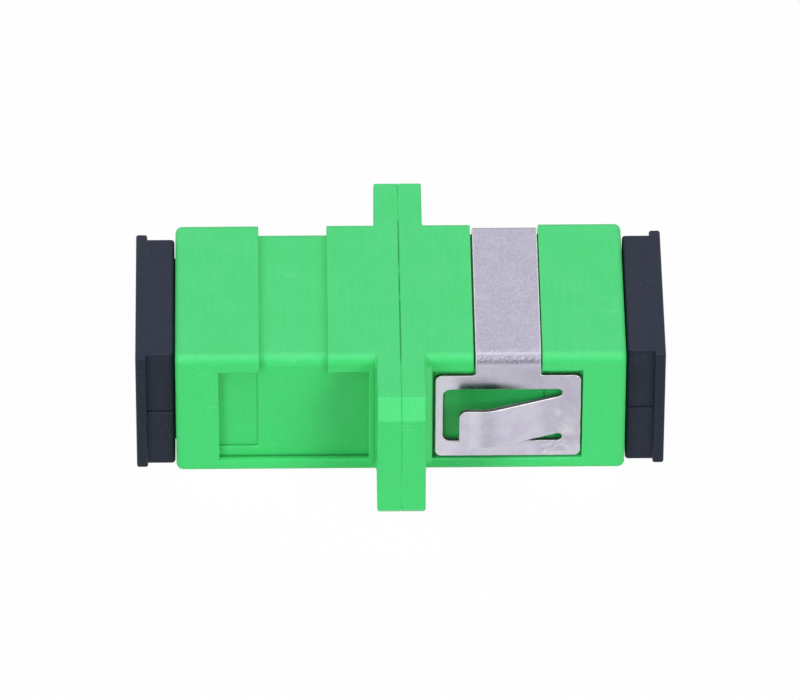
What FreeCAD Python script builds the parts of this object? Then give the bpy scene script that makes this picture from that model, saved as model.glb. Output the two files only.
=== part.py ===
import FreeCAD
import Part
import math
import os

# Simplex SC adapter with a full flange, a spring clip and two dust caps. All sizes are in millimetres.
# X runs along the optical axis, Y across the flange, Z up out of the wide face that carries the strap.
# The origin is on the optical axis, in the plane where the two housing halves meet.

# Housing. The two halves are the same moulding, so each size below is used for both.
body_length = 27.5            # mouth to mouth
body_width = 12.95            # across Y, between the narrow faces
body_height = 9.22            # across Z, between the wide faces
body_edge_radius = 0.6        # long edges
mouth_edge_radius = 0.42      # outer edges round each mouth
flange_width = 22.4           # across Y, over both ears
flange_thickness = 2.95       # both halves together
flange_root_radius = 0.12     # where the flange meets the body
ear_chamfer = 1.05            # corners of the ears
flange_edge_radius = 0.12     # edges round the two faces of the flange
seam_chamfer = 0.05           # edges of the joint between the halves
screw_edge_distance = 2.2     # from each ear's end to its screw hole's centre
screw_hole_diameter = 2.4

# Port for one SC plug.
port_width = 9.05             # across Y
port_height = 7.45            # across Z
port_corner_radius = 0.3
port_lead_in = 0.3            # chamfer round the mouth
keyway_width = 2.3            # slot for the plug's key, through the lower wide wall
keyway_length = 6.2           # in from the mouth
channel_height = 3.8          # across Z, room for the latch arms beside the port
latch_flex_room = 0.6         # free travel behind each latch arm
channel_end_wall = 2.85       # wall between the channels and the mouth

# Latch holders, the two equal inner mouldings that stand back to back.
holder_plate_width = 10.5     # across Y
holder_plate_height = 7.85    # across Z
holder_plate_thickness = 1.6
holder_fit_clearance = 0.05   # between a plate's edges and its seat
tube_diameter = 4.8
tube_lip_length = 0.7         # inward lip that keeps the sleeve in
tube_lead_in = 0.25
latch_thickness = 0.8
latch_width = 2.9             # across Z
latch_length = 7.3            # out of the plate
latch_gap = 7.9               # across Y, between the two arms
hook_height = 0.55            # how far each hook stands inward
hook_ramp_length = 0.95       # lead-in in front of each hook
hook_flat_length = 0.4
hook_back_radius = 0.05
latch_root_radius = 0.1       # where the arm meets the back of its hook
latch_tip_radius = 0.15
latch_tip_relief = 0.2        # the end of the ramp stands this far behind the arm's inner face

# Split alignment sleeve.
ferrule_diameter = 2.5
sleeve_wall = 0.35
sleeve_length = 11.4
sleeve_slit = 0.4
sleeve_chamfer = 0.12
sleeve_float = 0.075          # radial play of the sleeve in its tubes
sleeve_end_play = 0.15
ferrule_clearance = 0.2       # radial play of a ferrule in the tube lips

# Spring clip, one folded sheet.
sheet_thickness = 0.3
bend_radius = 0.5             # inside of the fold over the body's edges
fold_clearance = 0.2          # the body's edges under the folds are rounder by this
clip_centre = 6.53            # from the flange's middle plane to the middle of the clip's seat
clip_shift = 0.025            # the clip rests this far towards the mouth in its seat
strap_width = 4.0             # along X
strap_side_clearance = 0.1
strap_below_face = 0.05       # the strap lies this far below the wide face
frame_width = 8.89            # along X
frame_height = 6.43           # along Z
frame_side_clearance = 0.145
frame_bottom_gap = 0.15       # between the frame and the lower end of its pocket
frame_top_gap = 0.45
frame_seat_gap = 0.02         # between the frame and the floor of its pocket
frame_below_face = 0.1        # the frame lies this far below the narrow face
frame_corner_radius = 0.4
neck_radius = 0.18            # where the strap meets each frame
frame_rail_width = 0.47       # side of the frame next to the flange
window_corner_radius = 0.5
tab_width = 2.93              # along Z
tab_raise = 0.055             # middle of the tab above the middle of the frame
tab_slot_width = 0.6          # slot along each side of the tab
root_rail_width = 1.11        # side of the frame that the tab grows out of
tab_run = 4.31                # along X, from the bend at the root to the crest
tab_rise = 1.44               # how far the crest stands out of the frame
tab_lip_length = 1.85         # along X, from the crest to the tip
tab_lip_drop = 0.06
tab_root_bend = 0.85          # inside radius
tab_crest_bend = 2.2          # inside radius
tab_corner_radius = 0.55

# Pockets for the clip's frames, one in each narrow face of each half.
pocket_lower_wall = 1.03      # left standing between a pocket and the lower wide face
label_recess_width = 2.41     # along X, at the mouth end of the pocket
label_recess_bottom = 0.78    # kept above the lower end of the pocket
label_recess_depth = 0.12
label_corner_radius = 0.25
gate_mark_diameter = 2.0      # round moulding mark in the middle of each pocket
gate_mark_depth = 0.03

# Dust caps.
cap_mouth_gap = 0.06          # between the mouth and the cap's block
cap_block_length = 1.68
cap_block_width = 11.24       # across Y
cap_block_radius = 0.22       # long edges, and the edges round the face at the mouth
cap_side_step = 0.1           # the upper part of each side stands back this far
cap_step_height = -0.35       # Z of the step in the sides
cap_lip_length = 0.69
cap_lip_overhang = 0.33       # how far the lip stands out past the block's sides
cap_bottom_inset = 0.05       # above the body's lower wide face
cap_top_inset = 0.4           # below the body's upper wide face
cap_lip_radius = 0.15         # edges of the lip
cap_root_radius = 0.1         # where the block's sides meet the lip
cap_side_shift = 0.05         # each cap rests this far to one side in its port
cap_fit_clearance = 0.075     # between the plug and the port
cap_plug_length = 4.6         # inside the port
cap_plug_wall = 1.0
cap_end_wall = 1.25           # solid end behind the hollow
cap_key_clearance = 0.15      # to each side of the keyway, and below the body's face
cap_key_length = 3.8

# Sizes that follow from the ones above.
half_length = body_length / 2
half_width = body_width / 2
half_height = body_height / 2
half_flange = flange_width / 2
screw_offset = half_flange - screw_edge_distance
ear_face = flange_thickness / 2
port_half_height = port_height / 2
latch_inner = latch_gap / 2
latch_outer = latch_inner + latch_thickness
plate_half_width = holder_plate_width / 2
plate_half_height = holder_plate_height / 2
sleeve_radius = ferrule_diameter / 2 + sleeve_wall
tube_bore_radius = sleeve_radius + sleeve_float
tube_stop = sleeve_length / 2 + sleeve_end_play
tube_end = tube_stop + tube_lip_length
groove_floor = half_height - strap_below_face - sheet_thickness
pocket_floor = half_width - frame_below_face - sheet_thickness - frame_seat_gap
pocket_bottom = -half_height + pocket_lower_wall
pocket_start = clip_centre - frame_width / 2 - frame_side_clearance
pocket_end = clip_centre + frame_width / 2 + frame_side_clearance
groove_start = clip_centre - strap_width / 2 - strap_side_clearance
groove_end = clip_centre + strap_width / 2 + strap_side_clearance
clip_middle = clip_centre + clip_shift
frame_start = clip_middle - frame_width / 2
frame_end = clip_middle + frame_width / 2
frame_bottom = pocket_bottom + frame_bottom_gap
frame_top = frame_bottom + frame_height
pocket_top = frame_top + frame_top_gap
tab_middle = (frame_bottom + frame_top) / 2 + tab_raise
leg_inner = pocket_floor + frame_seat_gap
leg_outer = leg_inner + sheet_thickness
window_half_height = tab_width / 2 + tab_slot_width
slot_radius = 0.499 * tab_slot_width     # just short of a half circle at each slot's end
tab_root = frame_end - root_rail_width
tab_slope = math.atan2(tab_rise, tab_run)
tab_bend = tab_root - (tab_root_bend + sheet_thickness) * math.tan(tab_slope / 2)
tab_crest = tab_bend - tab_run
tab_tip = tab_crest - tab_lip_length
beyond = 2 * max(body_length, flange_width)    # reach of a cut that runs right out of the part

X_AXIS = FreeCAD.Vector(1, 0, 0)
Y_AXIS = FreeCAD.Vector(0, 1, 0)
Z_AXIS = FreeCAD.Vector(0, 0, 1)
ORIGIN = FreeCAD.Vector(0, 0, 0)


def block(x_range, y_range, z_range):
    corner = FreeCAD.Vector(x_range[0], y_range[0], z_range[0])
    size = (x_range[1] - x_range[0], y_range[1] - y_range[0], z_range[1] - z_range[0])
    return Part.makeBox(*size, corner)


def centred(half):
    return (-half, half)


# Flat face through the corners, each rounded by its own radius. A radius of 0 leaves a corner sharp.
def rounded_face(corners, radii):
    count = len(corners)
    starts = []
    ends = []
    middles = []
    for i in range(count):
        corner = corners[i]
        back = (corners[i - 1] - corner).normalize()
        ahead = (corners[(i + 1) % count] - corner).normalize()
        half_angle = back.getAngle(ahead) / 2
        trim = radii[i] / math.tan(half_angle)
        starts.append(corner + back * trim)
        ends.append(corner + ahead * trim)
        inward = (back + ahead).normalize()
        middles.append(corner + inward * (radii[i] / math.sin(half_angle) - radii[i]))
    edges = []
    for i in range(count):
        if radii[i] > 0:
            edges.append(Part.Arc(starts[i], middles[i], ends[i]).toShape())
        edges.append(Part.LineSegment(ends[i], starts[(i + 1) % count]).toShape())
    return Part.Face(Part.Wire(edges))


# Rectangle across X, centred on the axis.
def rounded_section(x, half_y, half_z, radius):
    corners = [
        FreeCAD.Vector(x, -half_y, -half_z),
        FreeCAD.Vector(x, half_y, -half_z),
        FreeCAD.Vector(x, half_y, half_z),
        FreeCAD.Vector(x, -half_y, half_z),
    ]
    return rounded_face(corners, [radius] * 4)


def rounded_bar(x, x_end, half_y, half_z, radius):
    return rounded_section(x, half_y, half_z, radius).extrude(X_AXIS * (x_end - x))


# Section of a folded sheet. The points run along one skin, and the sheet lies on the left of them.
def folded_section(points, inner_radii, thickness, place):
    normals = []
    for first, second in zip(points, points[1:]):
        run = math.hypot(second[0] - first[0], second[1] - first[1])
        normals.append(((first[1] - second[1]) / run, (second[0] - first[0]) / run))
    skin = []
    other_skin = []
    skin_radii = []
    other_radii = []
    for i, point in enumerate(points):
        before = normals[max(i - 1, 0)]
        after = normals[min(i, len(normals) - 1)]
        spread = 1 + before[0] * after[0] + before[1] * after[1]
        shift = [(before[k] + after[k]) * thickness / spread for k in (0, 1)]
        skin.append(place(*point))
        other_skin.append(place(point[0] + shift[0], point[1] + shift[1]))
        turns_left = before[0] * after[1] - before[1] * after[0] > 0
        inner = inner_radii[i]
        outer = inner + thickness if inner > 0 else 0
        skin_radii.append(outer if turns_left else inner)
        other_radii.append(inner if turns_left else outer)
    return rounded_face(skin + other_skin[::-1], skin_radii + other_radii[::-1])


# Whether two coordinates are the same place.
def level(first, second):
    return abs(first - second) < 1e-6


def edges_where(shape, test):
    return [edge for edge in shape.Edges if all(test(vertex.Point) for vertex in edge.Vertexes)]


def runs_along_x(edge):
    first = edge.Vertexes[0].Point
    last = edge.Vertexes[-1].Point
    return level(last.y, first.y) and level(last.z, first.z) and not level(last.x, first.x)


def runs_along_z(edge):
    first = edge.Vertexes[0].Point
    last = edge.Vertexes[-1].Point
    return level(last.x, first.x) and level(last.y, first.y) and not level(last.z, first.z)


# The same piece at the other end: half a turn about the vertical.
def turned(shape):
    other = shape.copy()
    other.rotate(ORIGIN, Z_AXIS, 180)
    return other


# Housing half on the +X side.
def housing():
    shape = rooted_body().fuse(flange()).removeSplitter()
    shape = shape.makeChamfer(seam_chamfer, edges_where(shape, lambda p: level(p.x, 0)))
    for cut in [port(), keyway(), plate_seat(), latch_channels(), clip_groove()]:
        shape = shape.cut(cut)
    for side in (-1, 1):
        shape = shape.cut(clip_pocket(side))
        shape = shape.cut(screw_hole(side))
    return shape.removeSplitter()


def outer_body():
    shape = block((0, half_length), centred(half_width), centred(half_height))
    long_edges = [edge for edge in shape.Edges if runs_along_x(edge)]
    shape = shape.makeFillet(body_edge_radius, long_edges)
    mouth_edges = edges_where(shape, lambda p: level(p.x, half_length))
    return shape.makeFillet(mouth_edge_radius, mouth_edges)


# The body with the small inside rounding at its foot, where the flange's face stands off it.
def rooted_body():
    reach_y = half_width + flange_root_radius
    reach_z = half_height + flange_root_radius
    plate_y = centred(reach_y + flange_root_radius)
    plate_z = centred(reach_z + flange_root_radius)
    shape = outer_body().fuse(block((0, ear_face), plate_y, plate_z))
    foot = edges_where(shape, lambda p: level(p.x, ear_face) and abs(p.y) < reach_y and abs(p.z) < reach_z)
    shape = shape.makeFillet(flange_root_radius, foot)
    return shape.common(block((0, half_length), centred(reach_y), centred(half_height)))


def flange():
    y = half_flange
    z = half_height
    c = ear_chamfer
    narrow_ends = [(-y, c - z), (-y, z - c), (c - y, z), (y - c, z)]
    wide_ends = [(y, z - c), (y, c - z), (y - c, -z), (c - y, -z)]
    corners = [FreeCAD.Vector(0, *point) for point in narrow_ends + wide_ends]
    shape = rounded_face(corners, [0] * len(corners)).extrude(X_AXIS * ear_face)
    return shape.makeFillet(flange_edge_radius, edges_where(shape, lambda p: level(p.x, ear_face)))


# Plug opening, from the seam to the mouth, with a lead-in round the mouth.
def port():
    half_y = port_width / 2
    bore = rounded_bar(-beyond, beyond, half_y, port_half_height, port_corner_radius)
    sections = []
    for x, grow in ((half_length - port_lead_in, 0), (half_length + port_lead_in, 2 * port_lead_in)):
        section = rounded_section(x, half_y + grow, port_half_height + grow, port_corner_radius + grow)
        sections.append(section.OuterWire)
    return bore.fuse(Part.makeLoft(sections, True, True))


def keyway():
    x_range = (half_length - keyway_length, beyond)
    return block(x_range, centred(keyway_width / 2), (-beyond, 0))


def plate_seat():
    half_y = plate_half_width + holder_fit_clearance
    half_z = plate_half_height + holder_fit_clearance
    return block((-beyond, holder_plate_thickness), centred(half_y), centred(half_z))


def latch_channels():
    reach = latch_outer + latch_flex_room
    return block((0, half_length - channel_end_wall), centred(reach), centred(channel_height / 2))


# Seat of the clip's strap: a groove across the wide face that turns down into both pockets.
def clip_groove():
    x_range = (groove_start, groove_end)
    around = block(x_range, centred(beyond), (0, beyond))
    core = block(x_range, centred(pocket_floor), (-half_height, groove_floor))
    corners = edges_where(core, lambda p: level(p.z, groove_floor))
    core = core.makeFillet(bend_radius + fold_clearance, [edge for edge in corners if runs_along_x(edge)])
    shallow = block(x_range, centred(beyond), (0, pocket_top))
    return around.cut(core).cut(shallow)


# Pocket in the narrow face at the given side, with the sunk field for a label at its mouth end.
def clip_pocket(side):
    pocket = across((pocket_start, pocket_end), pocket_floor, (pocket_bottom, pocket_top), side)
    label_start = pocket_end - label_recess_width
    label_bottom = pocket_bottom + label_recess_bottom
    y = side * (pocket_floor - label_recess_depth)
    corners = [
        FreeCAD.Vector(label_start, y, label_bottom),
        FreeCAD.Vector(pocket_end, y, label_bottom),
        FreeCAD.Vector(pocket_end, y, pocket_top),
        FreeCAD.Vector(label_start, y, pocket_top),
    ]
    label = rounded_face(corners, [label_corner_radius, 0, 0, 0]).extrude(Y_AXIS * side * body_width)
    mark_start = FreeCAD.Vector(clip_centre, side * (pocket_floor - gate_mark_depth), 0)
    mark = Part.makeCylinder(gate_mark_diameter / 2, body_width, mark_start, Y_AXIS * side)
    return pocket.fuse([label, mark])


# Block from a given distance off the X-Z plane outwards, on the given side.
def across(x_range, y_from, z_range, side):
    y_range = (y_from, beyond) if side > 0 else (-beyond, -y_from)
    return block(x_range, y_range, z_range)


def screw_hole(side):
    start = FreeCAD.Vector(-beyond, side * screw_offset, 0)
    return Part.makeCylinder(screw_hole_diameter / 2, 2 * beyond, start, X_AXIS)


# Inner moulding behind the +X port.
def latch_holder():
    plate_corner = port_corner_radius
    shape = rounded_bar(0, holder_plate_thickness, plate_half_width, plate_half_height, plate_corner)
    shape = shape.fuse(Part.makeCylinder(tube_diameter / 2, tube_end, ORIGIN, X_AXIS))
    for side in (-1, 1):
        shape = shape.fuse(latch_arm(side))
        shape = shape.cut(hook_core(side))
    return shape.cut(tube_bore()).removeSplitter()


# Arm beside the port with a hook at its end, seen in X and Y.
def latch_arm(side):
    tip = holder_plate_thickness + latch_length
    ramp = tip - hook_ramp_length
    back = ramp - hook_flat_length
    outline = [
        (0, latch_inner),
        (back, latch_inner),
        (back, latch_inner - hook_height),
        (ramp, latch_inner - hook_height),
        (tip, latch_inner + latch_tip_relief),
        (tip, latch_outer),
        (0, latch_outer),
    ]
    corners = [FreeCAD.Vector(x, side * y, -latch_width / 2) for x, y in outline]
    tip_radii = [latch_tip_radius] * 3
    radii = [0, latch_root_radius, hook_back_radius, *tip_radii, 0]
    return rounded_face(corners, radii).extrude(Z_AXIS * latch_width)


# Window through the plate in line with each hook, which lets the mould form the back of the hook.
def hook_core(side):
    y_range = sorted((side * (latch_inner - hook_height), side * latch_inner))
    return block((-beyond, holder_plate_thickness), y_range, centred(latch_width / 2))


def tube_bore():
    lip_radius = ferrule_diameter / 2 + ferrule_clearance
    bore_start = FreeCAD.Vector(-beyond, 0, 0)
    bore = Part.makeCylinder(tube_bore_radius, beyond + tube_stop, bore_start, X_AXIS)
    lip = Part.makeCylinder(lip_radius, beyond, ORIGIN, X_AXIS)
    lead_start = FreeCAD.Vector(tube_end - tube_lead_in, 0, 0)
    lead_in = Part.makeCone(lip_radius, lip_radius + 2 * tube_lead_in, 2 * tube_lead_in, lead_start, X_AXIS)
    return bore.fuse([lip, lead_in])


def alignment_sleeve():
    bore_radius = ferrule_diameter / 2
    start = FreeCAD.Vector(-sleeve_length / 2, 0, 0)
    shape = Part.makeCylinder(sleeve_radius, sleeve_length, start, X_AXIS)
    shape = shape.cut(Part.makeCylinder(bore_radius, sleeve_length, start, X_AXIS))
    end_edges = edges_where(shape, lambda p: level(abs(p.x), sleeve_length / 2))
    shape = shape.makeChamfer(sleeve_chamfer, end_edges)
    slit = block(centred(beyond), centred(sleeve_slit / 2), (0, beyond))
    return shape.cut(slit)


# Folded sheet on the +X half: strap, two legs shaped as frames, and a tab bent out of each frame.
def panel_clip():
    shape = folded_blank().common(clip_outline()).cut(frame_window())
    return shape.fuse([spring_tab(-1), spring_tab(1)]).removeSplitter()


# The sheet bent over both long edges of the body, as wide as the frames.
def folded_blank():
    points = [
        (-leg_inner, frame_bottom),
        (-leg_inner, groove_floor),
        (leg_inner, groove_floor),
        (leg_inner, frame_bottom),
    ]
    radii = [0, bend_radius, bend_radius, 0]
    section = folded_section(points, radii, sheet_thickness, lambda y, z: FreeCAD.Vector(frame_start, y, z))
    return section.extrude(X_AXIS * frame_width)


# Outline of the cut sheet as seen along Y: a frame below, the strap above it.
def clip_outline():
    strap_start = clip_middle - strap_width / 2
    strap_end = clip_middle + strap_width / 2
    outline = [
        (frame_start, frame_bottom, frame_corner_radius),
        (frame_end, frame_bottom, frame_corner_radius),
        (frame_end, frame_top, frame_corner_radius),
        (strap_end, frame_top, neck_radius),
        (strap_end, beyond, 0),
        (strap_start, beyond, 0),
        (strap_start, frame_top, neck_radius),
        (frame_start, frame_top, frame_corner_radius),
    ]
    return through_y(outline)


# Window of both frames. Its end by the tab's root is as round as the slots beside the tab.
def frame_window():
    low = tab_middle - window_half_height
    high = tab_middle + window_half_height
    outline = [
        (frame_start + frame_rail_width, low, window_corner_radius),
        (tab_root, low, slot_radius),
        (tab_root, high, slot_radius),
        (frame_start + frame_rail_width, high, window_corner_radius),
    ]
    return through_y(outline)


# Tab on one leg: a bent strip cut to the tab's outline, which flares into the frame at its root.
def spring_tab(side):
    start = tab_root + root_rail_width / 2
    points = [
        (start, leg_outer),
        (tab_bend, leg_outer),
        (tab_crest, leg_outer + tab_rise),
        (tab_tip, leg_outer + tab_rise - tab_lip_drop),
    ]
    low = tab_middle - window_half_height
    section = folded_section(
        points,
        [0, tab_root_bend, tab_crest_bend, 0],
        sheet_thickness,
        lambda x, y: FreeCAD.Vector(x, side * y, low),
    )
    strip = section.extrude(Z_AXIS * 2 * window_half_height)
    half = tab_width / 2
    outline = [
        (tab_tip, -half, tab_corner_radius),
        (tab_root, -half, slot_radius),
        (tab_root, -window_half_height, 0),
        (start, -window_half_height, 0),
        (start, window_half_height, 0),
        (tab_root, window_half_height, 0),
        (tab_root, half, slot_radius),
        (tab_tip, half, tab_corner_radius),
    ]
    return strip.common(through_y([(x, tab_middle + z, radius) for x, z, radius in outline]))


# Outline of (x, z, corner radius) points, extruded through the whole part along Y.
def through_y(outline):
    corners = [FreeCAD.Vector(x, -beyond, z) for x, z, radius in outline]
    return rounded_face(corners, [radius for x, z, radius in outline]).extrude(Y_AXIS * 2 * beyond)


# Dust cap for the +X port: a lip to pull on, a block against the mouth and a hollow plug with a key.
def dust_cap():
    block_start = half_length + cap_mouth_gap
    lip_start = block_start + cap_block_length
    cap_end = lip_start + cap_lip_length
    plug_start = half_length - cap_plug_length
    low = cap_bottom_inset - half_height
    high = half_height - cap_top_inset
    half_block = cap_block_width / 2
    block_range = (block_start, cap_end - cap_lip_radius)
    lower = cap_block(block_range, half_block, (low, cap_step_height), low)
    upper = cap_block(block_range, half_block - cap_side_step, (cap_step_height, high), high)
    lip = block((lip_start, cap_end), centred(half_block + cap_lip_overhang), (low, high))
    lip = lip.makeFillet(cap_lip_radius, lip.Edges)
    half_y = port_width / 2 - cap_fit_clearance
    half_z = port_half_height - cap_fit_clearance
    plug = rounded_bar(plug_start, lip_start, half_y, half_z, port_corner_radius)
    shape = lower.fuse([upper, lip, plug, cap_key(block_start)])
    for side in (-1, 1):
        shape = shape.fuse(lip_root(lip_start, half_block, side, (low + cap_block_radius, cap_step_height)))
        upper_range = (cap_step_height, high - cap_block_radius)
        shape = shape.fuse(lip_root(lip_start, half_block - cap_side_step, side, upper_range))
    hollow_end = cap_end - cap_end_wall
    hollow_y = half_y - cap_plug_wall
    hollow_z = half_z - cap_plug_wall
    hollow = rounded_bar(-beyond, hollow_end, hollow_y, hollow_z, port_corner_radius)
    shape = shape.cut(hollow).removeSplitter()
    shape.translate(Y_AXIS * cap_side_shift)
    return shape


# One layer of the cap's block, rounded round the face at the mouth and along its two outer edges.
def cap_block(x_range, half_y, z_range, outer_z):
    shape = block(x_range, centred(half_y), z_range)
    outer = [edge for edge in edges_where(shape, lambda p: level(p.z, outer_z)) if runs_along_x(edge)]
    front = edges_where(shape, lambda p: level(p.x, x_range[0]))
    front = [edge for edge in front if runs_along_z(edge) or level(edge.CenterOfMass.z, outer_z)]
    return shape.makeFillet(cap_block_radius, outer + front)


# Inside rounding in the corner between the block's side and the lip.
def lip_root(lip_start, half_y, side, z_range):
    r = cap_root_radius
    y_range = sorted((side * half_y, side * (half_y + r)))
    corner = block((lip_start - r, lip_start), y_range, z_range)
    axis_start = FreeCAD.Vector(lip_start - r, side * (half_y + r), z_range[0])
    return corner.cut(Part.makeCylinder(r, z_range[1] - z_range[0], axis_start, Z_AXIS))


# Rib under the plug that runs in the keyway.
def cap_key(block_start):
    start = half_length - cap_key_length
    half_y = keyway_width / 2 - cap_key_clearance
    low = cap_key_clearance - half_height
    return block((start, block_start), centred(half_y), (low, -port_half_height / 2))


def save(shape, name):
    if len(shape.Solids) != 1 or not shape.isValid():
        raise ValueError(name + " is not one valid solid")
    solid = shape.Solids[0]
    solid.exportStep("parts/" + name + ".step")
    print(name, round(solid.Volume, 2), "mm3")


os.makedirs("parts", exist_ok=True)
right_housing = housing()
right_holder = latch_holder()
right_cap = dust_cap()
save(right_housing, "housing_right")
save(turned(right_housing), "housing_left")
save(right_holder, "latch_holder_right")
save(turned(right_holder), "latch_holder_left")
save(alignment_sleeve(), "alignment_sleeve")
save(panel_clip(), "panel_clip")
save(right_cap, "dust_cap_right")
save(turned(right_cap), "dust_cap_left")
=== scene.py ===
import bmesh
import bpy
import math
from mathutils import Matrix, Vector


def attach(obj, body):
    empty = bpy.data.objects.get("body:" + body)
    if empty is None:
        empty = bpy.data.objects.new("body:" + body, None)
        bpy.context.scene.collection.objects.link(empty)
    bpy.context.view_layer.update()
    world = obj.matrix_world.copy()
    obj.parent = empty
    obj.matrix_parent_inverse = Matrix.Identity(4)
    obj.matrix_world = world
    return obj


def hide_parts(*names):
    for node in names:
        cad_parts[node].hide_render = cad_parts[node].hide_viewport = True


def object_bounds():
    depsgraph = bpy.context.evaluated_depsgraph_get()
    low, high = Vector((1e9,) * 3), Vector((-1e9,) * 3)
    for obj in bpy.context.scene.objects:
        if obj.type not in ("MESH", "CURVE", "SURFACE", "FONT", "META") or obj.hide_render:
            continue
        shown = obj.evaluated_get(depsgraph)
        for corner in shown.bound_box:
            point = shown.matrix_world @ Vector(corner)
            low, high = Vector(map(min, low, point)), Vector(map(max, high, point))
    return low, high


# Looks of the SC fibre adapter, in the frame's own axes: X along the optical axis, Y across the
# flange, Z up out of the wide face that carries the clip's strap. The frame and the studio are
# in metres, and the sizes in the looks of the pieces are in millimetres.
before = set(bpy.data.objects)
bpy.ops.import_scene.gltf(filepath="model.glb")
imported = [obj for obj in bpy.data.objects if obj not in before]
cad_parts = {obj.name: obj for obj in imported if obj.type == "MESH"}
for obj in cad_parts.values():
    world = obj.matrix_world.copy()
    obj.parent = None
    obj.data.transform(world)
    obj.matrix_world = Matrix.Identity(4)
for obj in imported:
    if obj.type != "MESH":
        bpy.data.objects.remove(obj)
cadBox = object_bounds()
mm = 0.001
flatAngle = math.radians(0.3)     # faces that turn less than this are merged
sharpAngle = math.radians(30)     # edges that turn more than this are shaded sharp
edgeAngle = math.radians(50)      # outer edges that turn more than this are rounded
# up-facing faces get painted light, which begins and is full at these values of the normal's Z
paintedLightSpan = (0.35, 0.95)          # the normal's Z where a wide face's colour begins and is full
seedSteps = (1, 1.7, 0.6)         # how a noise moves along X, Y and Z for each 1 of its seed
edgeSlot = 1                      # a passing material slot that tells the new edge faces apart


def pick(thing):
    bpy.ops.object.select_all(action="DESELECT")
    thing.select_set(True)
    bpy.context.view_layer.objects.active = thing


def addNode(tree, kind, inputs=None, **settings):
    node = tree.nodes.new(kind)
    for key, value in settings.items():
        setattr(node, key, value)
    for key, value in (inputs or {}).items():
        if isinstance(value, bpy.types.NodeSocket):
            tree.links.new(value, node.inputs[key])
        else:
            node.inputs[key].default_value = value
    return node


def srgb(red, green, blue):
    linear = []
    for value in (red, green, blue):
        share = value / 255
        linear.append(share / 12.92 if share <= 0.04045 else ((share + 0.055) / 1.055) ** 2.4)
    return (*linear, 1)


def emptyMaterial(name):
    material = bpy.data.materials.new(name)
    material.use_nodes = True
    material.node_tree.nodes.clear()
    return material, material.node_tree


# A new material with a Principled shader, and the piece's own coordinates in millimetres.
def startMaterial(name):
    material, tree = emptyMaterial(name)
    coords = addNode(tree, "ShaderNodeTexCoord")
    scaled = {"Vector": coords.outputs["Object"], "Scale": (1 / mm, 1 / mm, 1 / mm)}
    place = addNode(tree, "ShaderNodeMapping", scaled)
    shader = addNode(tree, "ShaderNodeBsdfPrincipled")
    addNode(tree, "ShaderNodeOutputMaterial", {"Surface": shader.outputs["BSDF"]})
    return material, tree, place.outputs["Vector"], shader


# How far the surface faces up, from 0 on the narrow faces to 1 on the upper wide ones. It sets the share of
# painted light: painted top light on the plastics, and a painted darker reflection on the steel's strap.
def paintedLightFacingUp(tree):
    coords = addNode(tree, "ShaderNodeTexCoord")
    axes = addNode(tree, "ShaderNodeSeparateXYZ", {"Vector": coords.outputs["Normal"]})
    return remap(tree, axes.outputs["Z"], *paintedLightSpan)


# Noise with marks of about the given size in millimetres, drawn out along one direction if asked.
def noise(tree, place, size, detail=2.0, turn=None, stretch=1.0, seed=0.0):
    vector = place
    if turn is not None:
        turned = addNode(tree, "ShaderNodeMapping", {"Vector": place, "Rotation": turn})
        drawn = {"Vector": turned.outputs["Vector"], "Scale": (1 / stretch, 1, 1)}
        vector = addNode(tree, "ShaderNodeMapping", drawn).outputs["Vector"]
    moved = {"Vector": vector, "Location": [seed * step for step in seedSteps]}
    moved = addNode(tree, "ShaderNodeMapping", moved).outputs["Vector"]
    inputs = {"Vector": moved, "Scale": 1 / size, "Detail": detail}
    return addNode(tree, "ShaderNodeTexNoise", inputs).outputs["Fac"]


def remap(tree, value, low, high, toLow=0.0, toHigh=1.0):
    inputs = {"Value": value, "From Min": low, "From Max": high, "To Min": toLow, "To Max": toHigh}
    return addNode(tree, "ShaderNodeMapRange", inputs).outputs["Result"]


def calculate(tree, operation, first, second=0.0, clamp=True):
    inputs = {0: first, 1: second}
    node = addNode(tree, "ShaderNodeMath", inputs, operation=operation, use_clamp=clamp)
    return node.outputs["Value"]


def absolute(tree, value):
    return calculate(tree, "ABSOLUTE", value, clamp=False)


# The Mix node's sockets for colours share their names with others, so they go by their places.
def mixColours(tree, factor, first, second):
    firstColour, secondColour, mixed = 6, 7, 2
    inputs = {"Factor": factor, firstColour: first, secondColour: second}
    return addNode(tree, "ShaderNodeMix", inputs, data_type="RGBA").outputs[mixed]


# Paints a colour over the tone so far: 0 leaves the tone and 1 covers it.
def paint(tree, tone, share, strength, colour):
    return mixColours(tree, calculate(tree, "MULTIPLY", share, strength), tone, colour)


# Paints a colour where a noise is high. The span says where it begins and where it is full.
def paintNoise(tree, tone, marks, span, strength, colour):
    return mixColours(tree, remap(tree, marks, *span, 0.0, strength), tone, colour)


def bump(tree, height, depth, below=None):
    inputs = {"Height": height, "Strength": 1.0, "Distance": depth * mm}
    if below is not None:
        inputs["Normal"] = below
    return addNode(tree, "ShaderNodeBump", inputs).outputs["Normal"]


def attribute(tree, name):
    return addNode(tree, "ShaderNodeAttribute", attribute_name=name).outputs["Fac"]


def axis(tree, place, name):
    return addNode(tree, "ShaderNodeSeparateXYZ", {"Vector": place}).outputs[name]


# 1 within the given distance of a value, fading to 0 over the given softness.
def near(tree, value, middle, reach, softness):
    away = calculate(tree, "SUBTRACT", value, middle, clamp=False)
    away = absolute(tree, away)
    return remap(tree, away, reach, reach + softness, 1.0, 0.0)


# Fine lines along one direction, in clumps and broken up into short lengths: 1 on a line.
def scratches(tree, place, look):
    spacing = look["spacing"]
    lines = noise(tree, place, spacing, 1.0, look["turn"], look["length"] / spacing, look["seed"])
    thin = near(tree, lines, 0.5, 0.0, look["thickness"])
    clumps = noise(tree, place, spacing * look["clumpSize"], 2.0, seed=look["seed"] + 4)
    return calculate(tree, "MULTIPLY", thin, remap(tree, clumps, *look["clumpSpan"]))


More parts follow.
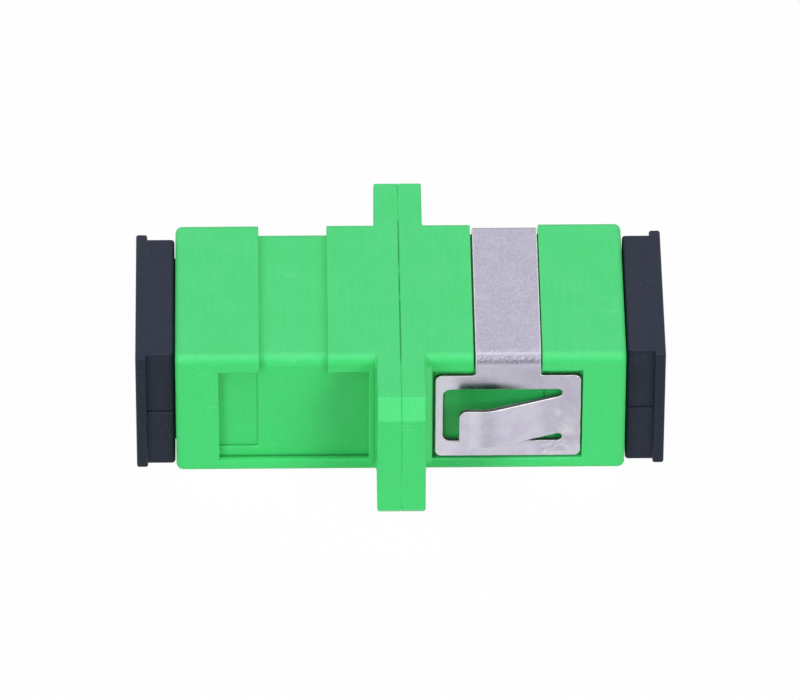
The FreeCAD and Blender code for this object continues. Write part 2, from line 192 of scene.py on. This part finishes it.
def connect(tree, shader, tone, rough, normal):
    tree.links.new(tone, shader.inputs["Base Color"])
    tree.links.new(rough, shader.inputs["Roughness"])
    tree.links.new(normal, shader.inputs["Normal"])


# Moulded plastic: cloudy tone, fine spark-eroded grain, flow streaks and drag marks, with a painted
# highlight along the edges, painted top light and the look's patches of painted shade and light.
# Each noise has a seed of its own.
def mouldedPlastic(name, look):
    material, tree, place, shader = startMaterial(name)
    seed = look["seed"]
    cloud = noise(tree, place, look["cloudSize"], 3.0, seed=seed)
    fine = noise(tree, place, look["grainSize"], 2.0, seed=seed + 2)
    speck = noise(tree, place, look["speckSize"], 3.0, seed=seed + 5)
    streak = noise(tree, place, look["streakSize"], 2.0, look["streakTurn"], look["streakLength"], seed + 7)
    drag = scratches(tree, place, look["drag"])
    # Painted highlight: a pale line along the rounded edges, broken up in places.
    rim = remap(tree, attribute(tree, "rim"), 0.0, look["rimSpread"])
    breaks = noise(tree, place, look["rimBreakSize"], 2.0, seed=seed + 9)
    paintedEdgeHighlight = calculate(tree, "MULTIPLY", rim, remap(tree, breaks, *look["rimBreakSpan"], look["rimLeast"]))
    # Painted top light: the up-facing faces take a lighter colour than the narrow ones.
    tone = mixColours(tree, paintedLightFacingUp(tree), look["sideColour"], look["paintedTopLightColour"])
    tone = paintNoise(tree, tone, cloud, look["cloudSpan"], look["cloudTone"], look["shiftColour"])
    tone = paintNoise(tree, tone, speck, look["speckSpan"], look["speckTone"], look["wearAndHighlightColour"])
    tone = paintNoise(tree, tone, streak, look["streakSpan"], look["streakTone"], look["darkColour"])
    tone = paint(tree, tone, drag, look["dragTone"], look["wearAndHighlightColour"])
    tone = paint(tree, tone, paintedEdgeHighlight, look["rimTone"], look["wearAndHighlightColour"])
    # The look's patches of painted shade and painted light.
    for patch in look["patches"]:
        tone = paintPatch(tree, place, tone, patch)
    if look["seam"]:
        tone = paintSeam(tree, place, tone, look["seam"])
    rough = remap(tree, cloud, *look["cloudSpan"], *look["roughness"])
    rough = calculate(tree, "SUBTRACT", rough, calculate(tree, "MULTIPLY", rim, look["rimPolish"]))
    rough = calculate(tree, "ADD", rough, calculate(tree, "MULTIPLY", drag, look["dragRoughness"]))
    normal = bump(tree, fine, look["grainDepth"])
    normal = bump(tree, cloud, look["cloudDepth"], normal)
    normal = bump(tree, drag, -look["dragDepth"], normal)
    connect(tree, shader, tone, rough, normal)
    shader.inputs["Specular IOR Level"].default_value = look["specular"]
    return material


# The welded joint between the halves: a dark joint line in places, and in others a pale painted highlight
# where its edges catch the light.
def paintSeam(tree, place, tone, look):
    onSeam = near(tree, axis(tree, place, "X"), 0.0, look["reach"], look["softness"])
    wander = noise(tree, place, look["breakSize"], 2.0, seed=look["seed"])
    glinting = remap(tree, wander, *look["glintSpan"])
    dark = calculate(tree, "MULTIPLY", onSeam, calculate(tree, "SUBTRACT", 1.0, glinting))
    pale = calculate(tree, "MULTIPLY", onSeam, glinting)
    faded = remap(tree, absolute(tree, axis(tree, place, "Y")), *look["fade"])
    dark = calculate(tree, "MULTIPLY", dark, calculate(tree, "SUBTRACT", 1.0, faded))
    tone = paint(tree, tone, dark, look["darkTone"], look["darkColour"])
    return paint(tree, tone, pale, look["paleTone"], look["paleColour"])


# A soft patch of colour. Each axis gives the middle, the reach and the softness of its edge in
# millimetres, with Y counted to both sides. Flecks break it up into streaks.
def paintPatch(tree, place, tone, patch):
    share = patch["tone"]
    for name in ("X", "Y", "Z"):
        if name in patch:
            value = axis(tree, place, name)
            if name == "Y":
                value = absolute(tree, value)
            share = calculate(tree, "MULTIPLY", near(tree, value, *patch[name]), share)
    if "flecks" in patch:
        flecks = patch["flecks"]
        marks = noise(tree, place, flecks["size"], 3.0, flecks["turn"], flecks["stretch"], flecks["seed"])
        share = calculate(tree, "MULTIPLY", share, remap(tree, marks, *flecks["span"]))
    return mixColours(tree, share, tone, patch["colour"])


# Rolled spring steel: fine diagonal grain and cloudy stains, crazed at the folds, with sheared edges that
# are darker and rougher between two bright burrs, whose near-white is a painted highlight. The up-facing
# strap gets a painted reflection, and the look's patches paint light and shade.
def rolledSteel(name, look):
    material, tree, place, shader = startMaterial(name)
    seed = look["seed"]
    grain = noise(tree, place, look["grainSize"], 3.0, look["grainTurn"], look["grainStretch"], seed)
    stain = noise(tree, place, look["stainSize"], 3.0, seed=seed + 3)
    haze = noise(tree, place, look["hazeSize"], 4.0, look["grainTurn"], look["hazeStretch"], seed + 6)
    torn = noise(tree, place, look["tearSize"], 3.0, seed=seed + 11)
    marks = scratches(tree, place, look["marks"])
    # Each fold lies high up and far out at the same time.
    fold = look["fold"]
    outward = remap(tree, absolute(tree, axis(tree, place, "Y")), *fold["reach"])
    upward = remap(tree, axis(tree, place, "Z"), *fold["height"])
    nearFold = calculate(tree, "MULTIPLY", outward, upward)
    crazes = noise(tree, place, fold["crazeSize"], 2.0, fold["crazeTurn"], fold["crazeStretch"], seed + 8)
    crazed = calculate(tree, "MULTIPLY", nearFold, remap(tree, crazes, *fold["crazeSpan"]))
    cut = attribute(tree, "cut")
    # Burrs: real rolled edges, whose near-white colour is a painted highlight.
    rim = remap(tree, attribute(tree, "rim"), 0.0, look["rimSpread"])
    breaks = noise(tree, place, look["rimBreakSize"], 2.0, seed=seed + 13)
    burr = calculate(tree, "MULTIPLY", rim, remap(tree, breaks, *look["rimBreakSpan"], look["rimLeast"]))
    burr = calculate(tree, "MULTIPLY", burr, look["rimTone"])
    # Painted reflection: the up-facing strap takes a darker colour than the legs.
    tone = mixColours(tree, paintedLightFacingUp(tree), look["legColour"], look["strapPaintedReflectionColour"])
    tone = paintNoise(tree, tone, stain, look["stainSpan"], look["stainTone"], look["stainColour"])
    tone = paintNoise(tree, tone, grain, look["grainSpan"], look["grainTone"], look["paleColour"])
    tone = paintNoise(tree, tone, haze, look["hazeSpan"], look["hazeTone"], look["darkColour"])
    tone = paint(tree, tone, crazed, fold["tone"], look["darkColour"])
    # The look's patches of painted light, shade and reflection, and mottled streaks.
    for patch in look["patches"]:
        tone = paintPatch(tree, place, tone, patch)
    tone = paint(tree, tone, marks, look["markTone"], look["rimColour"])
    tone = paint(tree, tone, cut, remap(tree, torn, *look["tearSpan"], look["tearLeast"]), look["cutColour"])
    tone = mixColours(tree, burr, tone, look["rimColour"])
    rough = remap(tree, grain, *look["roughSpan"], *look["roughness"])
    rough = calculate(tree, "ADD", rough, calculate(tree, "MULTIPLY", nearFold, fold["roughness"]))
    rough = calculate(tree, "ADD", rough, calculate(tree, "MULTIPLY", cut, look["cutRoughness"]))
    normal = bump(tree, grain, look["grainDepth"])
    normal = bump(tree, stain, look["waveDepth"], normal)
    normal = bump(tree, crazed, fold["depth"], normal)
    normal = bump(tree, marks, -look["markDepth"], normal)
    connect(tree, shader, tone, rough, normal)
    # The burrs lose their metal, so their painted highlight stays near-white under any light.
    dulled = calculate(tree, "SUBTRACT", 1.0, calculate(tree, "MULTIPLY", burr, look["rimDullness"]))
    tree.links.new(dulled, shader.inputs["Metallic"])
    return material


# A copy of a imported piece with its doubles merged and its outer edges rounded. The new edge
# faces are remembered in the point attribute "rim", which the finishes read.
def dressNode(node, pieceName, look, material, body):
    piece = bpy.data.objects.new(pieceName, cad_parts[node].data.copy())
    bpy.context.scene.collection.objects.link(piece)
    pick(piece)
    bpy.ops.mesh.customdata_custom_splitnormals_clear()
    bpy.ops.object.mode_set(mode="EDIT")
    bpy.ops.mesh.select_all(action="SELECT")
    bpy.ops.mesh.remove_doubles(threshold=look["mergeDistance"] * mm)
    bpy.ops.mesh.dissolve_limited(angle_limit=flatAngle)
    bpy.ops.object.mode_set(mode="OBJECT")
    bpy.ops.object.shade_smooth_by_angle(angle=sharpAngle)
    widest = weighOuterEdges(piece, look)
    piece.data.materials.clear()
    piece.data.materials.append(material)
    piece.data.materials.append(material)
    rounding = piece.modifiers.new("edge rounding", "BEVEL")
    rounding.limit_method = "WEIGHT"
    rounding.width = widest * mm
    rounding.segments = 2
    rounding.use_clamp_overlap = False
    rounding.material = edgeSlot
    bpy.ops.object.modifier_apply(modifier=rounding.name)
    keepInBox(piece, node)
    rememberEdges(piece, look)
    evening = piece.modifiers.new("even normals", "WEIGHTED_NORMAL")
    evening.keep_sharp = True
    bpy.ops.object.modifier_apply(modifier=evening.name)
    piece.data.materials.pop(index=edgeSlot)
    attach(piece, body)
    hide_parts(node)


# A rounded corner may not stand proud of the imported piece.
def keepInBox(piece, node):
    packed = [vertex.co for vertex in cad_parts[node].data.vertices]
    lowest = [min(corner[k] for corner in packed) for k in range(3)]
    highest = [max(corner[k] for corner in packed) for k in range(3)]
    for vertex in piece.data.vertices:
        vertex.co = [min(max(value, low), high) for value, low, high in zip(vertex.co, lowest, highest)]


# Outer (convex) edges sharper than edgeAngle get a bevel weight. The piece's own places, given
# by ranges of |X|, |Y| and Z in millimetres, set another radius for the edges inside them.
def weighOuterEdges(piece, look):
    places = look["edgePlaces"]
    widest = max([look["edgeRadius"]] + [spot["radius"] for spot in places])
    shape = bmesh.new()
    shape.from_mesh(piece.data)
    layers = shape.edges.layers.float
    layer = layers.get("bevel_weight_edge") or layers.new("bevel_weight_edge")
    for edge in shape.edges:
        if len(edge.link_faces) == 2 and edge.calc_face_angle_signed(0.0) > edgeAngle:
            radius = look["edgeRadius"]
            for spot in places:
                if all(liesIn(vertex.co, spot) for vertex in edge.verts):
                    radius = spot["radius"]
            edge[layer] = radius / widest
    shape.to_mesh(piece.data)
    shape.free()
    return widest


def liesIn(point, spot):
    found = {"x": abs(point.x) / mm, "y": abs(point.y) / mm, "z": point.z / mm}
    return all(spot[name][0] <= value <= spot[name][1] for name, value in found.items())


# Point attributes for the finishes: "rim" on rounded edges, and "cut" on a sheet's sheared faces.
def rememberEdges(piece, look):
    mesh = piece.data
    onRim = [1.0] * len(mesh.vertices)
    onCut = [1.0] * len(mesh.vertices)
    for face in mesh.polygons:
        if face.material_index != edgeSlot:
            sheared = isSheared(face, look)
            for index in face.vertices:
                onRim[index] = 0.0
                if not sheared:
                    onCut[index] = 0.0
        face.material_index = 0
    onCut = [0.0 if rim else cut for rim, cut in zip(onRim, onCut)]
    for name, values in (("rim", onRim), ("cut", onCut)):
        mesh.attributes.new(name, "FLOAT", "POINT").data.foreach_set("value", values)


# Only a sheet has sheared faces. They look along the strap's width, or anywhere but sideways
# below the strap.
def isSheared(face, look):
    if "sheet" not in look:
        return False
    sheet = look["sheet"]
    belowStrap = face.center.z < sheet["strapFrom"] * mm
    notSideways = abs(face.normal.y) < sheet["sideways"]
    return abs(face.normal.x) > sheet["alongWidth"] or (belowStrap and notSideways)


bodyGreen = srgb(57, 212, 111)
wearAndHighlightGreen = srgb(120, 240, 160)
cornerShade = srgb(16, 96, 36)
softShade = srgb(24, 120, 52)
gapShade = srgb(8, 50, 18)
narrowFace = (6.47, 0.06, 0.04)   # places for patches: middle, reach and softness
pocketLength = (-6.5, 4.7, 0.1)

housingLook = {
    "sideColour": bodyGreen,
    # the top colour is the side colour with painted top light
    "paintedTopLightColour": srgb(79, 218, 129),
    "shiftColour": srgb(60, 208, 112),
    "darkColour": srgb(50, 196, 104),
    "wearAndHighlightColour": wearAndHighlightGreen,
    "cloudSize": 2.2,
    "cloudSpan": (0.3, 0.7),
    "cloudTone": 0.35,
    "cloudDepth": 0.002,
    "grainSize": 0.09,
    "grainDepth": 0.0012,
    "speckSize": 0.14,
    "speckSpan": (0.4, 0.7),
    "speckTone": 0.1,
    "streakSize": 0.22,
    "streakTurn": (0, 0, math.radians(90)),
    "streakLength": 9.0,
    "streakSpan": (0.45, 0.7),
    "streakTone": 0.12,
    "drag": {"turn": (0, 0, math.radians(4)), "spacing": 0.35, "length": 6.0, "thickness": 0.012,
             "clumpSize": 9, "clumpSpan": (0.56, 0.64), "seed": 1.0},
    "dragTone": 0.3,
    "dragRoughness": 0.05,
    "dragDepth": 0.0015,
    "rimBreakSize": 0.5,
    "rimBreakSpan": (0.3, 0.7),
    "rimLeast": 0.35,
    # the pale line along the edges is a painted highlight
    "rimSpread": 0.6,             # a smaller one makes the pale line along the edges wider
    "rimTone": 0.35,
    "rimPolish": 0.1,
    "roughness": (0.47, 0.53),
    "specular": 0.4,
    "seed": 1.0,
    "mergeDistance": 0.001,
    "edgeRadius": 0.045,
    "edgePlaces": [
        # corners at the foot of the flange
        {"x": (1.3, 1.6), "y": (6.0, 6.5), "z": (-4.7, -4.4), "radius": 0.0},
        {"x": (1.3, 1.6), "y": (6.0, 6.5), "z": (4.4, 4.7), "radius": 0.0},
        # lip below the pocket, label field and moulding mark
        {"x": (1.4, 11.5), "y": (6.4, 6.5), "z": (-3.7, -3.4), "radius": 0.1},
        {"x": (8.6, 11.2), "y": (5.9, 6.1), "z": (-2.9, 3.5), "radius": 0.02},
        {"x": (5.4, 7.6), "y": (6.0, 6.1), "z": (-1.1, 1.1), "radius": 0.012},
    ],
    "patches": [
        # painted shade in the corners along the lower ends of the pocket and of the label field
        {"X": pocketLength, "Y": (6.0, 0.1, 0.02), "Z": (-3.57, 0.02, 0.16), "tone": 0.4,
         "colour": cornerShade},
        {"X": pocketLength, "Y": (6.05, 0.04, 0.26), "Z": (-3.6, 0.04, 0.02), "tone": 0.5,
         "colour": cornerShade},
        {"X": (-9.9, 1.15, 0.1), "Y": (5.94, 0.06, 0.02), "Z": (-2.79, 0.03, 0.08), "tone": 0.35,
         "colour": cornerShade},
        # lip below the pocket, painted back to plain green so that it has no painted edge highlight
        {"X": pocketLength, "Y": (6.46, 0.1, 0.02), "Z": (-3.62, 0.12, 0.04), "tone": 0.8,
         "colour": bodyGreen},
        # painted shade at the foot of the flange on one side and a painted highlight on the other, and
        # painted shade from the flange on the pocket next to it
        {"X": (-1.56, 0.08, 0.08), "Y": narrowFace, "Z": (0, 3.7, 0.3), "tone": 0.3, "colour": softShade},
        {"X": (1.72, 0.12, 0.08), "Y": narrowFace, "Z": (0, 3.7, 0.3), "tone": 0.65,
         "colour": wearAndHighlightGreen},
        {"X": (-2.0, 1.6, 2.2), "Y": (6.05, 0.2, 0.2), "Z": (0, 3.6, 0.3), "tone": 0.16,
         "colour": softShade},
        # painted shade on the floors of the pocket and of the label field
        {"X": pocketLength, "Y": (6.0, 0.1, 0.03), "Z": (0, 3.6, 0.1), "tone": 0.04, "colour": softShade},
        {"X": (-9.9, 1.22, 0.02), "Y": (5.93, 0.03, 0.02), "Z": (0, 3.6, 0.1), "tone": 0.04,
         "colour": softShade},
        # painted shade on the floor behind the clip, on its left end and in the gap beside the clip
        {"X": (6.5, 4.4, 0.1), "Y": (6.0, 0.1, 0.05), "Z": (-0.3, 2.8, 0.1), "tone": 0.28,
         "colour": srgb(0, 118, 40)},
        {"X": (2.64, 0.05, 0.08), "Y": (6.0, 0.1, 0.05), "Z": (-0.2, 1.7, 0.2), "tone": 0.4,
         "colour": srgb(8, 70, 24)},
        {"X": (2.03, 0.1, 0.03), "Y": (6.1, 0.2, 0.1), "Z": (0, 3.7, 0.1), "tone": 0.55,
         "colour": srgb(8, 60, 20)},
        # painted shade in the gaps beside the strap
        {"X": (4.49, 0.07, 0.01), "Y": (0, 6.08, 0.02), "Z": (3.9, 0.38, 0.02), "tone": 0.75,
         "colour": gapShade},
        {"X": (8.6, 0.06, 0.01), "Y": (0, 6.08, 0.02), "Z": (3.9, 0.38, 0.02), "tone": 0.75,
         "colour": gapShade},
    ],
    # seam: a dark joint line, with a pale painted highlight in places
    "seam": {"reach": 0.02, "softness": 0.05, "breakSize": 3.2, "glintSpan": (0.5, 0.62),
             "fade": (6.3, 7.2), "darkTone": 0.6, "paleTone": 0.5, "darkColour": srgb(28, 130, 62),
             "paleColour": srgb(96, 232, 142), "seed": 5.0},
}
greenPlastic = mouldedPlastic("green moulded plastic", housingLook)
for side in ("left", "right"):
    dressNode("housing_" + side, "Housing." + side, housingLook, greenPlastic, "adapter")
print("housing halves finished")

capLook = {
    **housingLook,
    "sideColour": (0.0052, 0.0096, 0.024, 1),
    # the top colour is the side colour with painted top light
    "paintedTopLightColour": (0.0112, 0.0155, 0.0345, 1),
    "shiftColour": (0.016, 0.021, 0.04, 1),
    "darkColour": (0.005, 0.007, 0.016, 1),
    "wearAndHighlightColour": srgb(96, 104, 124),
    "cloudSize": 1.6,
    "cloudDepth": 0.003,
    "grainSize": 0.12,
    "grainDepth": 0.003,
    "speckTone": 0.06,
    "streakTone": 0.2,
    "drag": {"turn": (0, 0, math.radians(20)), "spacing": 0.3, "length": 3.0, "thickness": 0.012,
             "clumpSize": 9, "clumpSpan": (0.59, 0.67), "seed": 7.0},
    "dragTone": 0.2,
    "rimTone": 0.25,
    "rimPolish": 0.08,
    "specular": 0.24,
    "seed": 7.0,
    "patches": [],
    "seam": None,
    "edgeRadius": 0.035,
    # corners of the lip
    "edgePlaces": [{"x": (15.4, 15.6), "y": (5.4, 5.9), "z": (-4.5, 4.2), "radius": 0.0}],
}
capPlastic = mouldedPlastic("dark cap plastic", capLook)
for side in ("left", "right"):
    dressNode("dust_cap_" + side, "DustCap." + side, capLook, capPlastic, side + "_cap")
print("dust caps finished")

paintedGreenReflection = (0.015, 0.105, 0.066, 1)
burrHighlightColour = (0.93, 0.93, 0.9, 1)
darkerSteelColour = (0.3, 0.285, 0.345, 1)
foldShade = (0.2, 0.19, 0.235, 1)
brightColour = (0.82, 0.8, 0.85, 1)
frameFace = (6.4, 0.2, 0.2)       # places for patches: middle, reach and softness
tabFace = (7.8, 0.5, 0.2)
flecksLook = {"size": 0.3, "turn": (0, math.radians(40), 0), "stretch": 2.0, "span": (0.45, 0.68)}

clipLook = {
    # the legs' colour; the darker strap colour below is a painted reflection
    "legColour": (0.61, 0.58, 0.682, 1),
    "strapPaintedReflectionColour": (0.445, 0.424, 0.527, 1),
    "stainColour": (0.5, 0.46, 0.6, 1),
    "paleColour": (0.66, 0.64, 0.71, 1),
    "darkColour": (0.2, 0.2, 0.26, 1),
    "cutColour": (0.07, 0.075, 0.06, 1),
    "rimColour": burrHighlightColour,
    "rimSpread": 0.3,
    "rimTone": 0.95,
    "rimDullness": 1.0,
    "rimBreakSize": 0.35,
    "rimBreakSpan": (0.3, 0.6),
    "rimLeast": 0.45,
    "grainSize": 0.09,
    "grainTurn": (0, math.radians(35.26), math.radians(-45)),
    "grainStretch": 9.0,
    "grainSpan": (0.4, 0.7),
    "grainTone": 0.55,
    "grainDepth": 0.0012,
    "stainSize": 1.1,
    "stainSpan": (0.4, 0.65),
    "stainTone": 0.6,
    "hazeSize": 0.3,
    "hazeStretch": 4.0,
    "hazeSpan": (0.45, 0.7),
    "hazeTone": 0.05,
    "waveDepth": 0.006,
    "fold": {"reach": (5.9, 6.15), "height": (3.82, 4.0), "crazeSize": 0.07, "crazeTurn": (0, 0, 0),
             "crazeStretch": 1.2, "crazeSpan": (0.42, 0.6), "tone": 0.75, "depth": 0.006,
             "roughness": 0.1},
    "marks": {"turn": (0, 0, math.radians(-35)), "spacing": 0.25, "length": 4.0, "thickness": 0.012,
              "clumpSize": 9, "clumpSpan": (0.56, 0.64), "seed": 3.0},
    "markTone": 0.3,
    "markDepth": 0.001,
    "patches": [
        # painted reflection of the green housing, dark, above the window
        {"X": (4.72, 1.02, 0.3), "Y": frameFace, "Z": (1.9, 0.26, 0.36), "tone": 0.7,
         "colour": paintedGreenReflection},
        {"X": (5.8, 0.1, 2.3), "Y": frameFace, "Z": (1.9, 0.26, 0.36), "tone": 0.75,
         "colour": paintedGreenReflection},
        # burrs along the strap, with a painted highlight on them
        {"X": (4.58, 0.02, 0.03), "Z": (4.4, 0.5, 0.1), "tone": 0.55, "colour": burrHighlightColour},
        {"X": (8.53, 0.02, 0.03), "Z": (4.4, 0.5, 0.1), "tone": 0.65, "colour": burrHighlightColour},
        # painted shade on the fold: over its highlight, and deepening the dark band that it reflects
        {"Y": (6.0, 0.12, 0.15), "Z": (4.44, 0.06, 0.12), "tone": 0.65, "colour": foldShade},
        {"Y": (6.32, 0.08, 0.1), "Z": (4.06, 0.05, 0.1), "tone": 0.3, "colour": foldShade},
        # painted light next to the flange, and painted shade towards the mouth and under the fold
        {"X": (2.5, 0.5, 0.8), "Y": frameFace, "tone": 0.4, "colour": (0.78, 0.76, 0.82, 1)},
        {"X": (10.2, 1.6, 2.6), "Y": frameFace, "Z": (0.6, 2.8, 0.5), "tone": 0.3,
         "colour": darkerSteelColour},
        {"X": (6.0, 2.6, 0.8), "Y": frameFace, "Z": (3.1, 0.5, 0.4), "tone": 0.2,
         "colour": darkerSteelColour},
        # mottled streaks beside the tab's root and in the frame's lower corner
        {"X": (9.9, 0.6, 0.5), "Y": frameFace, "Z": (-0.7, 0.8, 0.6), "tone": 0.45,
         "colour": brightColour, "flecks": {**flecksLook, "size": 0.45, "turn": (0, math.radians(-50), 0),
                                            "stretch": 2.5, "seed": 21.0}},
        {"X": (9.3, 0.6, 0.4), "Y": frameFace, "Z": (-3.0, 0.4, 0.3), "tone": 0.5,
         "colour": darkerSteelColour, "flecks": {**flecksLook, "seed": 22.0}},
        {"X": (9.7, 0.9, 0.3), "Y": frameFace, "Z": (-2.8, 0.5, 0.3), "tone": 0.5,
         "colour": brightColour, "flecks": {**flecksLook, "seed": 23.0}},
        # painted shade on the crest of the tab and a painted highlight on its lip, standing in for the
        # bend's reflections
        {"X": (5.25, 0.2, 0.7), "Y": tabFace, "tone": 0.22, "colour": (0.2, 0.19, 0.24, 1)},
        {"X": (4.55, 0.15, 0.4), "Y": tabFace, "tone": 0.3, "colour": (0.8, 0.79, 0.84, 1)},
    ],
    "tearSize": 0.08,
    "tearSpan": (0.3, 0.6),
    "tearLeast": 0.6,
    "cutRoughness": 0.25,
    "roughSpan": (0.3, 0.7),
    "roughness": (0.26, 0.35),
    "seed": 3.0,
    "mergeDistance": 0.02,
    "edgeRadius": 0.04,
    # inner side of the slots' ends
    "edgePlaces": [{"x": (9.3, 10.3), "y": (6.0, 6.2), "z": (-2.2, 2.0), "radius": 0.0}],
    # The sheet is strap above strapFrom, in millimetres. The other two are parts of a normal.
    "sheet": {"strapFrom": 3.3, "alongWidth": 0.7, "sideways": 0.35},
}
springSteel = rolledSteel("rolled spring steel", clipLook)
dressNode("panel_clip", "SpringClip", clipLook, springSteel, "adapter")
print("spring clip finished")

holderLook = {
    **housingLook,
    "sideColour": srgb(196, 188, 168),
    # the top colour is the side colour with painted top light
    "paintedTopLightColour": srgb(200, 192, 173),
    "shiftColour": srgb(188, 180, 160),
    "darkColour": srgb(176, 168, 148),
    "wearAndHighlightColour": srgb(222, 217, 202),
    "seed": 12.0,
    "patches": [],
    "seam": None,
    "edgeRadius": 0.03,
    "edgePlaces": [],
}
holderPlastic = mouldedPlastic("natural holder plastic", holderLook)
for side in ("left", "right"):
    node = "latch_holder_" + side
    dressNode(node, "LatchHolder." + side, holderLook, holderPlastic, "adapter")

sleeveLook = {
    **holderLook,
    "sideColour": srgb(226, 225, 218),
    # the top colour is the side colour with painted top light
    "paintedTopLightColour": srgb(228, 227, 221),
    "shiftColour": srgb(220, 219, 211),
    "darkColour": srgb(210, 209, 201),
    "wearAndHighlightColour": srgb(240, 240, 236),
    "roughness": (0.19, 0.25),
    "grainDepth": 0.0004,
    "seed": 15.0,
    "edgeRadius": 0.02,
}
zirconia = mouldedPlastic("white ceramic", sleeveLook)
dressNode("alignment_sleeve", "AlignmentSleeve", sleeveLook, zirconia, "adapter")
print("inner pieces finished")

studio = {
    "floorSize": 6.0,
    "floorColour": (0.84, 0.84, 0.84, 1),
    "floorShown": 0.97,           # how much plain white covers the floor's own shading
    "skyFill": 0.29,
    "sideLight": {"place": (0.417, -0.515, 0.352), "size": (0.32, 0.32), "power": 2.3},
    "topLight": {"place": (0, -0.12, 0.56), "size": (0.9, 0.36), "power": 1.75},
    "card": {"distance": 0.3, "elevation": 24, "width": 0.3, "height": 0.22,
             "colour": (0.04, 0.04, 0.04, 1), "roughness": 0.9},
}


def seenDirectly(tree):
    rays = addNode(tree, "ShaderNodeLightPath")
    seen = calculate(tree, "ADD", rays.outputs["Is Camera Ray"], rays.outputs["Is Glossy Ray"])
    return calculate(tree, "ADD", seen, rays.outputs["Is Transmission Ray"])


def makeFloor():
    bpy.ops.object.select_all(action="DESELECT")
    lowest = cadBox[0][2]
    bpy.ops.mesh.primitive_plane_add(size=studio["floorSize"], location=(0, 0, lowest))
    floor = bpy.context.active_object
    floor.name = "Floor"
    material, tree = emptyMaterial("pale floor")
    matt = addNode(tree, "ShaderNodeBsdfDiffuse", {"Color": studio["floorColour"]})
    white = addNode(tree, "ShaderNodeEmission", {"Color": (1, 1, 1, 1), "Strength": 1.0})
    share = calculate(tree, "MULTIPLY", seenDirectly(tree), studio["floorShown"])
    mixed = addNode(tree, "ShaderNodeMixShader", {0: share, 1: matt.outputs[0], 2: white.outputs[0]})
    addNode(tree, "ShaderNodeOutputMaterial", {"Surface": mixed.outputs[0]})
    floor.data.materials.append(material)


def makeSky():
    world = bpy.data.worlds.new("Studio")
    bpy.context.scene.world = world
    world.use_nodes = True
    tree = world.node_tree
    tree.nodes.clear()
    strength = remap(tree, seenDirectly(tree), 0.0, 1.0, studio["skyFill"], 1.0)
    sky = addNode(tree, "ShaderNodeBackground", {"Color": (1, 1, 1, 1), "Strength": strength})
    addNode(tree, "ShaderNodeOutputWorld", {"Surface": sky.outputs[0]})


def aimAt(thing, target):
    thing.rotation_euler = (target - thing.location).to_track_quat("-Z", "Y").to_euler()


def makeLight(name, look, side=1):
    bpy.ops.object.select_all(action="DESELECT")
    x, y, z = look["place"]
    bpy.ops.object.light_add(type="AREA", location=(x * side, y, z))
    light = bpy.context.active_object
    light.name = name
    light.data.shape = "RECTANGLE"
    light.data.size, light.data.size_y = look["size"]
    light.data.energy = look["power"]
    aimAt(light, Vector((0, 0, 0)))


# A dark card in front, which only the light and the reflections meet.
def makeCard(look):
    bpy.ops.object.select_all(action="DESELECT")
    bpy.ops.mesh.primitive_plane_add(size=1.0, location=(0, 0, 0))
    card = bpy.context.active_object
    card.name = "FrontCard"
    elevation = math.radians(look["elevation"])
    sized = Matrix.Diagonal((look["width"], look["height"], 1, 1))
    tipped = Matrix.Rotation(math.radians(90) - elevation, 4, "X")
    away = Vector((0, -math.cos(elevation), math.sin(elevation))) * look["distance"]
    card.data.transform(Matrix.Translation(away) @ tipped @ sized)
    card.visible_camera = False
    material, tree = emptyMaterial("dark card")
    finish = {"Base Color": look["colour"], "Roughness": look["roughness"]}
    shader = addNode(tree, "ShaderNodeBsdfPrincipled", finish)
    addNode(tree, "ShaderNodeOutputMaterial", {"Surface": shader.outputs["BSDF"]})
    card.data.materials.append(material)


makeFloor()
makeSky()
makeLight("SideLight.right", studio["sideLight"], 1)
makeLight("SideLight.left", studio["sideLight"], -1)
makeLight("TopLight", studio["topLight"])
makeCard(studio["card"])
print("studio set up")

view = {
    "elevation": 40.4637,
    "azimuth": -0.9327,
    "roll": 0.2044,
    "distance": 0.63988,
    "lens": 467.38,
    "sensor": 36,
    "shift": (0.00101, -0.00468),
    "clip": (0.01, 20),
}


def makeCamera():
    elevation = math.radians(view["elevation"])
    azimuth = math.radians(view["azimuth"])
    level = math.cos(elevation)
    back = Vector((math.sin(azimuth) * level, -math.cos(azimuth) * level, math.sin(elevation)))
    right = Vector((math.cos(azimuth), math.sin(azimuth), 0))
    turn = Matrix((right, back.cross(right), back)).transposed()
    turn = turn @ Matrix.Rotation(math.radians(view["roll"]), 3, "Z")
    bpy.ops.object.select_all(action="DESELECT")
    bpy.ops.object.camera_add()
    camera = bpy.context.active_object
    camera.name = "Camera"
    camera.matrix_world = Matrix.Translation(back * view["distance"]) @ turn.to_4x4()
    camera.data.lens = view["lens"]
    camera.data.sensor_width = view["sensor"]
    camera.data.shift_x, camera.data.shift_y = view["shift"]
    camera.data.clip_start, camera.data.clip_end = view["clip"]
    bpy.context.scene.camera = camera


makeCamera()
bpy.context.scene.view_settings.view_transform = "Standard"
print("camera set up")
